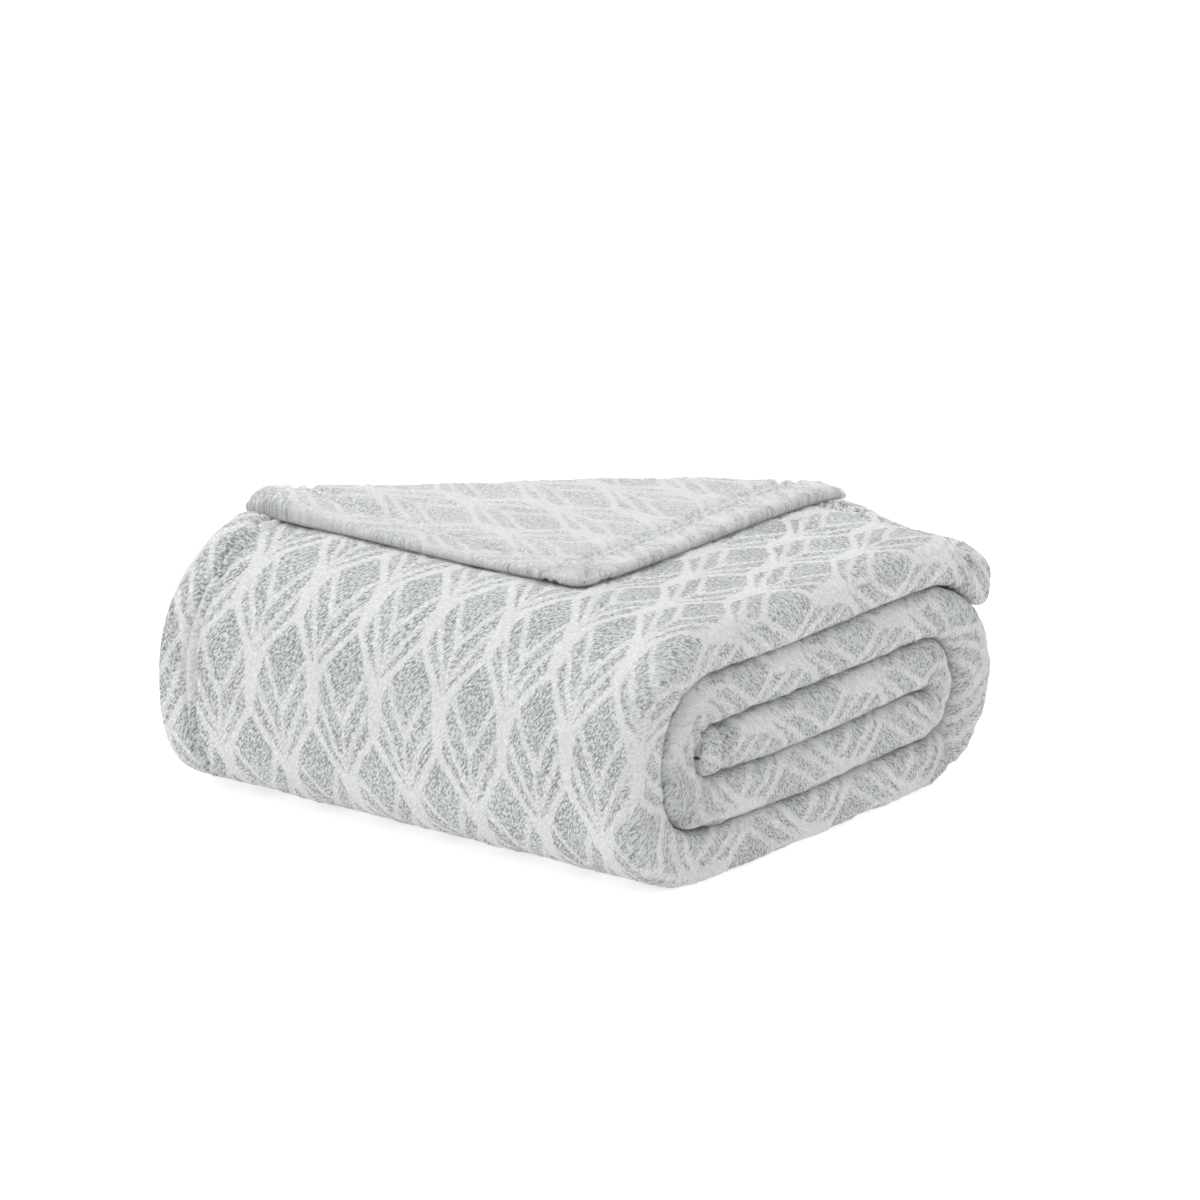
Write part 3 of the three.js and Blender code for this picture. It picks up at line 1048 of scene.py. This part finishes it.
@dataclass
class Blanket:
    """The throw itself, all but its turned corner."""

    roll: FoldedRoll
    hem: Hem
    coarse: float = 12 * MM
    hidden: float = 22 * MM
    bend: float = 5.5 * MM
    inner_bend: float = 2.5 * MM
    turn: float = 7 * MM
    shortest: float = 4.5 * MM
    cuts: int = 3
    bare_cuts: int = 2
    shown_margin: float = 14 * MM
    end_depth: float = 62 * MM
    bare_margin: float = 30 * MM
    pile_rise: float = 0.22 * MM
    puff: float = 0.9 * MM
    pucker: float = 2.0 * MM
    crease_depth: float = 3.2 * MM
    crease_width: float = 2.4 * MM
    hem_twist: float = 4.5 * MM
    wave_size: float = 34 * MM
    ripple_size: float = 13 * MM
    ripple_share: float = 0.35
    pucker_size: float = 9 * MM
    slack_bend: float = 0.35
    inner_bend_least: float = 0.55
    corner_leg: float = 0.226

    # How tightly each turn bends the cloth, from the outer turn to the inner one.
    TURN_BENDS = (0.5, 0.75, 1.0, 1.0)
    # Each crease: the marks of its turn, how far round it lies, how it leans, and its strength.
    CREASES = (
        (2, 3, 0.17, 0.25, 1.0),
        (2, 3, 0.78, -0.2, 0.4),
        (4, 5, 0.22, 0.3, 0.55),
        (4, 5, 0.50, -0.3, 0.6),
        (4, 5, 0.80, 0.2, 0.5),
        (6, 7, 0.35, 0.2, 0.5),
    )

    def _fold_span(self) -> tuple[float, float]:
        """Where the outer ply's fold at the right end starts and ends, across the cloth."""
        start = self.roll.right - self.roll.left - self.roll.layer / 2
        return start, start + math.pi * self.roll.layer / 2

    def _columns(self) -> list[float]:
        """Stations across the cloth, close where it bends and where it shows.

        Returns:
            Distances from the upper side hem.
        """
        roll, hem = self.roll, self.hem
        length = roll.across.length
        flat = roll.right - roll.left - roll.layer
        first, second = self._fold_span()
        third = second + flat
        fourth = third + roll.ply * math.pi
        fifth = fourth + flat
        sixth = fifth + 24 * MM
        stations = hem.stations()
        for start, end, step in (
            (hem.zone, first, self.coarse),
            (first, second, self.bend),
            (second, third, self.hidden),
            (third, fourth, self.inner_bend),
            (fourth, fifth, self.hidden),
            (fifth, sixth, self.inner_bend),
            (sixth, length - hem.zone, self.coarse),
        ):
            stations += spaced(start, end, step)
        return stations + [length - s for s in reversed(hem.stations())]

    def _stretches(self) -> list[float]:
        """Where the strip's layers and turns meet.

        Returns:
            Distances from the outer end hem.
        """
        roll = self.roll
        flat = roll.back_y - roll.front_y
        lengths = [
            roll.end_y - roll.front_y,
            math.pi * 2.0 * roll.pitch,
            flat,
            math.pi * 1.5 * roll.pitch,
            flat,
            math.pi * roll.pitch,
            flat,
            math.pi * 0.5 * roll.pitch,
        ]
        return np.cumsum(lengths).tolist()

    def _rows(self) -> list[float]:
        """Stations along the strip, closer round its inner turns.

        Returns:
            Distances from the outer end hem.
        """
        marks = [self.hem.zone] + self._stretches()
        stations = self.hem.stations()
        for number, (start, end) in enumerate(zip(marks, marks[1:])):
            stations += spaced(start, end, self.turn if number in (5, 7) else self.coarse)
        end = self.roll.along.length
        stations += spaced(marks[-1], end - self.roll.end_rounding, self.coarse)
        stations += spaced(end - self.roll.end_rounding, end - 3.3 * MM, 2 * MM)
        return stations + [end - s for s in reversed(self.hem.rim_stations())]

    def build(self) -> bpy.types.Object:
        """Cuts, folds and shapes the cloth, all but its turned corner.

        Returns:
            The blanket.
        """
        leg, length = self.corner_leg, self.roll.across.length
        slab = ClothSlab(self._columns(), self._rows()).cut(leg, -1.0)
        _, fold_end = self._fold_span()
        marks = self._stretches()
        margin = self.shown_margin

        def outside(across: float, along: float) -> bool:
            """The outer ply where it shows: top, front, back, and the ends of every layer."""
            shows = along < marks[1] + margin or marks[2] - margin < along < marks[3] + margin
            return across < fold_end and (shows or across > fold_end - self.end_depth)

        def uncovered(across: float, along: float) -> bool:
            """The second ply where the turned corner leaves it bare."""
            reach = leg + self.bare_margin
            return across > length - leg - self.bare_margin and along < reach

        refine(slab, Side.FACE, outside, self.shortest, self.cuts)
        refine(slab, Side.BACK, uncovered, self.shortest, self.bare_cuts)
        across, along, side = flat_points(slab)
        places = self.places(across, along, side)
        return finish_mesh(slab, "blanket", places, self.bending(across, along))

    def _creases(self, across: np.ndarray, along: np.ndarray) -> np.ndarray:
        """Folds that the tight turns press into the folded side.

        Args:
            across: distances from the upper side hem.
            along: distances from the outer end hem.

        Returns:
            How deep each point lies in a crease.
        """
        marks = self._stretches()
        middle = sum(self._fold_span()) / 2
        depth = np.zeros(len(across))
        for start, end, part, lean, amount in self.CREASES:
            centre = marks[start] + (marks[end] - marks[start]) * part + (across - middle) * lean
            shape = bump(middle, 17 * MM, across) * bump(0.0, self.crease_width, along - centre)
            depth = depth + amount * self.crease_depth * shape
        return depth

    def bending(self, across: np.ndarray, along: np.ndarray) -> np.ndarray:
        """How tightly the cloth is bent.

        Args:
            across: distances from the upper side hem.
            along: distances from the outer end hem.

        Returns:
            Numbers from 0 to 1.
        """
        first, second = self._fold_span()
        opening = smooth(first - 8 * MM, first + 10 * MM, across)
        at_fold = opening * smooth(second + 8 * MM, second - 10 * MM, across)
        marks = self._stretches()
        tight = np.full(len(across), self.slack_bend)
        for start, end, amount in zip(marks[0::2], marks[1::2], self.TURN_BENDS):
            entering = smooth(start - 12 * MM, start + 6 * MM, along)
            leaving = smooth(end + 12 * MM, end - 6 * MM, along)
            tight = tight + (amount - tight) * entering * leaving
        inner = self.inner_bend_least * smooth(marks[2], marks[3], along)
        return at_fold * np.maximum(tight, inner)

    def places(self, across: np.ndarray, along: np.ndarray, side: np.ndarray) -> np.ndarray:
        """Where points of the flat cloth lie when it is folded.

        Args:
            across: distances from the upper side hem.
            along: distances from the outer end hem.
            side: 1 on the face, -1 on the back, 0 in the middle of the cloth.

        Returns:
            N by 3 places.
        """
        roll, hem = self.roll, self.hem
        half = roll.ply / 2
        edge = np.minimum(across, roll.across.length - across)
        thickness = np.minimum(hem.thickness(edge, half), hem.thickness(along, half))
        inner_end = roll.along.length - along
        thickness = np.minimum(thickness, hem.thickness(inner_end, half))
        twisted = self.corner_leg + 10 * MM
        twist = bump(twisted, 20 * MM, along) * smooth(34 * MM, 10 * MM, across)
        twist = twist + 0.5 * bump(twisted, 18 * MM, across) * smooth(30 * MM, 10 * MM, along)
        flat = np.stack([across, along, side * 0.0], axis=-1)
        shows = (side > 0) * 1.0
        wave = soft_noise(flat, self.wave_size, 11.0) * self.puff
        wave = wave + soft_noise(flat, self.ripple_size, 12.0) * self.puff * self.ripple_share
        fuzz = np.random.default_rng(SEED).normal(0.0, self.pile_rise, len(across))
        bent = self.bending(across, along)
        drawn_out = flat * np.array([0.45, 1.0, 1.0])
        pucker = soft_noise(drawn_out, self.pucker_size, 13.0) * self.pucker
        wave = wave + pucker * np.clip(bent * 2.0 - 0.8, 0.0, 1.0)
        wave = wave - self._creases(across, along) * (bent > 0)
        rim = smooth(0.0, 6 * MM, np.minimum(edge, along))
        height = side * thickness + shows * rim * (wave + fuzz + twist * self.hem_twist)
        folded = roll.fold(across, along, height)
        top = 1.0 - smooth(0.0, 1.0, (along - (roll.end_y - roll.front_y)) / (20 * MM))
        return roll.reshape(folded, top)


@dataclass
class TurnedCorner:
    """The corner of the outer ply, turned over its diagonal fold, with its underside up."""

    roll: FoldedRoll
    hem: Hem = field(default_factory=lambda: Hem(swell=2.3 * MM, dent=2.6 * MM, rim=4.0 * MM))
    rounding: float = 10 * MM
    fold_low: float = 4.4 * MM
    fold_high: float = 6.1 * MM
    loop_swell: float = 2.8 * MM
    end_taper: float = 0.3
    ease: float = 42 * MM
    step: float = 2.4 * MM
    settle: float = 0.2 * MM
    wave: float = 0.9 * MM
    wave_size: float = 40 * MM
    ripple: float = 0.35 * MM
    ripple_size: float = 14 * MM
    pile_rise: float = 0.2 * MM
    pivot: Vector = field(init=False)
    tip: Vector = field(init=False)
    leg: float = field(init=False)
    half: float = field(init=False)
    reach: float = field(init=False)

    def __post_init__(self) -> None:
        """Takes the hinge line and the corner's size from the frame."""
        low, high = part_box("turned_corner")
        self.pivot = hinge_place()
        self.tip = Vector((high.x, low.y, 0.0))
        self.leg = self.roll.end_y - self.tip.y
        self.half = self.roll.ply / 2
        self.reach = self.leg / math.sqrt(2.0)

    @property
    def bend(self) -> float:
        """Length of cloth in the fold."""
        return math.pi * self.fold_high

    def _stations(self) -> list[float]:
        """Distances from a hem, close at the rim and the stitch rows."""
        longest = (self.reach + self.bend) * math.sqrt(2.0) + self.step
        return self.hem.stations() + spaced(self.hem.zone, longest, self.step) + [longest]

    def build(self) -> bpy.types.Object:
        """Cuts, folds and shapes the corner.

        Returns:
            The corner.
        """
        stations = self._stations()
        slab = ClothSlab(stations, stations).cut((self.reach + self.bend) * math.sqrt(2.0), 1.0)
        across, along, side = flat_points(slab)
        places = self.places(across, along, side)
        # the corner's rim counts as half bent, which gives it more painted shade flecks in its pile
        bend = 0.5 * smooth(6 * MM, 0.0, np.minimum(across, along))
        return finish_mesh(slab, "turned_corner_cloth", places, bend)

    def _round_tip(self, across: np.ndarray, along: np.ndarray) -> tuple[np.ndarray, np.ndarray]:
        """Rounds the corner's point.

        Args:
            across: distances from the side hem.
            along: distances from the end hem.

        Returns:
            Both, moved near the point.
        """
        size = self.rounding
        a = np.clip(1.0 - across / size, 0.0, 1.0)
        b = np.clip(1.0 - along / size, 0.0, 1.0)
        reach = np.maximum(np.hypot(a, b), 1e-9)
        scale = np.maximum(a, b) / reach
        inside = (a > 0) & (b > 0)
        new_across = np.where(inside, size * (1.0 - a * scale), across)
        new_along = np.where(inside, size * (1.0 - b * scale), along)
        return new_across, new_along

    def places(self, across: np.ndarray, along: np.ndarray, side: np.ndarray) -> np.ndarray:
        """Where points of the flat corner lie when it is turned over.

        Args:
            across: distances from the side hem.
            along: distances from the end hem.
            side: 1 on the face, which lies down, and -1 on the back, which lies up.

        Returns:
            N by 3 places.
        """
        hem, half = self.hem, self.half
        thickness = np.minimum(hem.thickness(across, half), hem.thickness(along, half))
        across, along = self._round_tip(across, along)
        from_fold = self.reach + self.bend - (across + along) / math.sqrt(2.0)
        on_line = (across - along) / math.sqrt(2.0)
        angle = np.clip(from_fold / self.bend, 0.0, 1.0) * math.pi
        loose = smooth(0.9 * self.reach, -10 * MM, on_line)
        radius = self.fold_low + (self.fold_high - self.fold_low) * loose
        reach_here = self.reach + self.bend - np.clip(from_fold, 0.0, self.bend)
        radius = radius * (1.0 - self.end_taper * smooth(0.92, 1.0, np.abs(on_line) / reach_here))
        room = self.reach - radius * np.sin(angle)
        on_line = on_line * room / reach_here
        beyond = np.maximum(from_fold - self.bend, 0.0)
        flat = np.stack([across, along, side * 0.0], axis=-1)
        up = (side < 0) * 1.0
        wave = soft_noise(flat, self.wave_size, 21.0) * self.wave
        wave = wave + soft_noise(flat, self.ripple_size, 22.0) * self.ripple
        fuzz = np.random.default_rng(SEED + 1).normal(0.0, self.pile_rise, len(across))
        edge = smooth(0.0, 5 * MM, np.minimum(across, along))
        loop = self.loop_swell * smooth(-20 * MM, -140 * MM, on_line) * bump(0.0, 26 * MM, beyond)
        loop = loop * np.sin(angle / 2)
        offset = side * thickness - up * edge * (wave + fuzz + loop)
        arm = radius - offset
        lateral = np.where(beyond > 0, -beyond, arm * np.sin(angle))
        rest = half + self.settle + np.maximum(thickness - half, 0.0)
        crown = np.maximum(2.0 * radius - half - rest, 0.0) * bump(0.0, self.ease, beyond)
        height = np.where(beyond > 0, rest + crown - offset, radius - half - arm * np.cos(angle))
        at_hem = 1.0 - smooth(6 * MM, 40 * MM, np.minimum(across, along))
        height = height - (side > 0) * crown * at_hem * (1.0 - np.cos(angle)) / 2.0
        diagonal = 1.0 / math.sqrt(2.0)
        x = self.pivot.x + on_line * diagonal - lateral * diagonal
        y = self.pivot.y + on_line * diagonal + lateral * diagonal
        z = self.pivot.z + height
        folded = np.stack([x, y, z], axis=-1)
        return self.roll.reshape(folded, np.ones(len(across)))


# ------------------------------------------------------------------ stitches


@dataclass
class StitchRow:
    """A row of lockstitches lying in its dent."""

    name: str
    path: np.ndarray
    length: float = 3.4 * MM
    gap: float = 0.9 * MM
    radius: float = 0.42 * MM

    def build(self) -> bpy.types.Object:
        """Lays one short thread after another along the path.

        Returns:
            The row.
        """
        steps = np.linalg.norm(np.diff(self.path, axis=0), axis=1)
        stations = np.concatenate([[0.0], np.cumsum(steps)])
        total = float(stations[-1])
        count = int(total / (self.length + self.gap))
        made = bmesh.new()
        for number in range(count):
            start = (number + 0.5) * total / count - self.length / 2
            ends = [
                Vector([np.interp(start + part, stations, self.path[:, k]) for k in range(3)])
                for part in (0.0, self.length)
            ]
            self._stitch(made, ends[0], ends[1])
        return mesh_object(self.name, made)

    def _stitch(self, mesh: bmesh.types.BMesh, start: Vector, end: Vector) -> None:
        """Adds one stitch: a short round thread with tapered ends.

        Args:
            mesh: the row's mesh.
            start: one end.
            end: the other end.
        """
        way = end - start
        ball = bmesh.ops.create_icosphere(mesh, subdivisions=1, radius=1.0)
        spin = way.to_track_quat("Z", "Y")
        for vert in ball["verts"]:
            local = Vector((vert.co.x * self.radius, vert.co.y * self.radius, vert.co.z * way.length / 2))
            vert.co = spin @ local + (start + end) / 2
        for face in {f for v in ball["verts"] for f in v.link_faces}:
            face.smooth = True


# ------------------------------------------------------------------ the room


@dataclass
class Studio:
    """A pale floor, soft light and the camera."""

    azimuth: float = 38.02
    elevation: float = 17.17
    distance: float = 5.2925
    lens: float = 302.86
    aim: tuple[float, float, float] = (0.01583, 0.0, 0.10337)
    floor_size: float = 30.0
    floor_shade: float = 0.60
    floor_glow: float = 0.62
    sky: float = 0.94
    panel_size: float = 1.2

    LIT_PLACE = Vector((0.0, 0.0, 0.1))
    PANELS = (
        ("overhead", Vector((-0.4, 0.4, 2.2)), 24.0),
        ("left fill", Vector((-2.0, -1.4, 1.2)), 13.0),
        ("right fill", Vector((2.2, -0.6, 1.0)), 6.0),
    )

    def camera(self) -> None:
        """Makes the scene's camera."""
        turn, tilt = math.radians(self.azimuth), math.radians(self.elevation)
        flat = math.cos(tilt)
        back = Vector((math.sin(turn) * flat, -math.cos(turn) * flat, math.sin(tilt)))
        data = bpy.data.cameras.new("camera")
        data.lens = self.lens
        data.sensor_width = 36.0
        data.clip_end = 100.0
        made = add_object("camera", data)
        made.location = Vector(self.aim) + back * self.distance
        made.rotation_mode = "QUATERNION"
        made.rotation_quaternion = (-back).to_track_quat("-Z", "Y")
        bpy.context.scene.camera = made

    def floor(self) -> None:
        """Makes the floor."""
        mesh = bmesh.new()
        bmesh.ops.create_grid(mesh, x_segments=1, y_segments=1, size=self.floor_size)
        floor = mesh_object("floor", mesh)
        paint = bpy.data.materials.new("floor paint")
        paint.use_nodes = True
        shader = paint.node_tree.nodes["Principled BSDF"]
        shader.inputs["Base Color"].default_value = (*[self.floor_shade] * 3, 1.0)
        shader.inputs["Roughness"].default_value = 0.9
        shader.inputs["Emission Color"].default_value = (1.0, 1.0, 1.0, 1.0)
        shader.inputs["Emission Strength"].default_value = self.floor_glow
        shader.inputs["Specular IOR Level"].default_value = 0.0
        floor.data.materials.append(paint)

    def _panel(self, name: str, place: Vector, power: float) -> None:
        """Adds a square light that faces the throw.

        Args:
            name: the light's name.
            place: where it stands.
            power: its strength in watts.
        """
        data = bpy.data.lights.new(name, "AREA")
        data.shape = "SQUARE"
        data.size = self.panel_size
        data.energy = power
        light = add_object(name, data)
        light.location = place
        light.rotation_mode = "QUATERNION"
        light.rotation_quaternion = (place - self.LIT_PLACE).to_track_quat("Z", "Y")

    def lights(self) -> None:
        """Makes the sky and the soft lights."""
        world = bpy.data.worlds.new("studio")
        world.use_nodes = True
        sky = world.node_tree.nodes["Background"]
        sky.inputs["Color"].default_value = (1.0, 1.0, 1.0, 1.0)
        sky.inputs["Strength"].default_value = self.sky
        bpy.context.scene.world = world
        for name, place, power in self.PANELS:
            self._panel(name, place, power)
        bpy.context.scene.view_settings.view_transform = "Standard"


# ------------------------------------------------------------------ the throw


@dataclass
class FoldedThrow:
    """The whole throw: its cloth, its turned corner and its stitches."""

    roll: FoldedRoll = field(default_factory=FoldedRoll)
    hem: Hem = field(default_factory=Hem)
    flat_width: float = 1.27
    flat_length: float = 1.524
    bend_share: float = 0.71
    sewing_step: float = 2 * MM
    fold_clear: float = 12 * MM
    inner_clear: float = 6 * MM
    bare_reach: float = 20 * MM

    STRIP_NODES = (
        "top_layer",
        "front_turn",
        "bottom_layer",
        "back_turn",
        "upper_inner_layer",
        "inner_front_turn",
        "lower_inner_layer",
        "inner_back_turn",
        "core_layer",
    )

    def build(self) -> None:
        """Builds every piece and dresses it, and joins the blanket and the stitch rows to the frame's
        bodies.
        """
        leaf, pile = LeafPrint().group(), Pile().group()
        cloth = PlushCloth("leaf plush").material(leaf, pile)
        paler = PlushCloth("leaf plush underside", (0.67, 0.686, 0.69), print_strength=0.9, painted_pile_shade=1.0)
        underside = paler.material(leaf, pile)
        thread = SewingThread().material()
        corner = TurnedCorner(self.roll)
        blanket = Blanket(self.roll, self.hem, corner_leg=corner.leg)
        body = blanket.build()
        body.data.materials.append(cloth)
        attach(body, "roll")
        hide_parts(*self.STRIP_NODES)
        self._report(body)
        turned = corner.build()
        turned.data.materials.append(underside)
        low, high = self.roll.top - self.roll.ply, corner.pivot.z + 0.1 * MM
        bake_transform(turned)
        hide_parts("turned_corner", "corner_fold")
        self._report(turned)
        rows = self._stitches(blanket, corner, thread)
        [row for row, rides in rows if rides == "roll"]
        size = corner.leg + corner.bend * self.bend_share
        size * size * 0.5
        [row for row, rides in rows if rides == "corner"]

    def _report(self, piece: bpy.types.Object) -> None:
        """Logs a piece and its size in triangles."""
        count = sum(len(p.vertices) - 2 for p in piece.data.polygons)
        log.info("%s: %d triangles", piece.name, count)

    def _stitches(
        self, blanket: Blanket, corner: TurnedCorner, thread: bpy.types.Material
    ) -> list[tuple[bpy.types.Object, str]]:
        """Sews every row.

        Args:
            blanket: the cloth that the body's rows lie on.
            corner: the corner that its own rows lie on.
            thread: the thread's material.

        Returns:
            Each row and the body that it rides on.
        """
        made = []
        width, length = self.roll.across.length, self.roll.along.length
        step = self.sewing_step
        for number, row in enumerate(self.hem.rows, start=1):
            start = corner.leg - row + self.fold_clear
            side_along = np.arange(start, length - self.inner_clear, step)
            side = blanket.places(side_along * 0 + row, side_along, side_along * 0 + 1)
            end_across = np.arange(start, width - row, step)
            end = blanket.places(end_across, end_across * 0 + row, end_across * 0 + 1)
            bare = np.arange(corner.leg + self.bare_reach, row, -step)
            back = np.arange(row, corner.leg, step)
            second_across = np.concatenate([bare * 0 + width - row, width - back])
            second_along = np.concatenate([bare, back * 0 + row])
            second = blanket.places(second_across, second_along, second_along * 0 - 1)
            leg = np.arange(corner.reach * math.sqrt(2.0) - row - self.inner_clear, row, -step)
            turn = leg[::-1]
            ring_across = np.concatenate([leg, turn * 0 + row])
            ring_along = np.concatenate([leg * 0 + row, turn])
            ring = corner.places(ring_across, ring_along, ring_across * 0 - 1)
            for name, path, node, rides in (
                ("side_hem_row", side, "side_hem_stitches", "roll"),
                ("end_hem_row", end, "end_hem_stitches", "roll"),
                ("second_ply_row", second, "second_ply_stitches", "roll"),
                ("turned_corner_row", ring, "turned_corner_stitches", "corner"),
            ):
                piece = StitchRow(f"{name}_{number}", path).build()
                piece.data.materials.append(thread)
                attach(piece, rides)
                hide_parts(f"{node}_{number}")
                self._report(piece)
                made.append((piece, rides))
        return made


def main() -> None:
    """Builds the studio and the throw."""
    logging.basicConfig(level=logging.INFO, format="%(message)s")
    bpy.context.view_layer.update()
    studio = Studio()
    studio.camera()
    studio.floor()
    studio.lights()
    FoldedThrow().build()


if __name__ == "__main__":
    main()
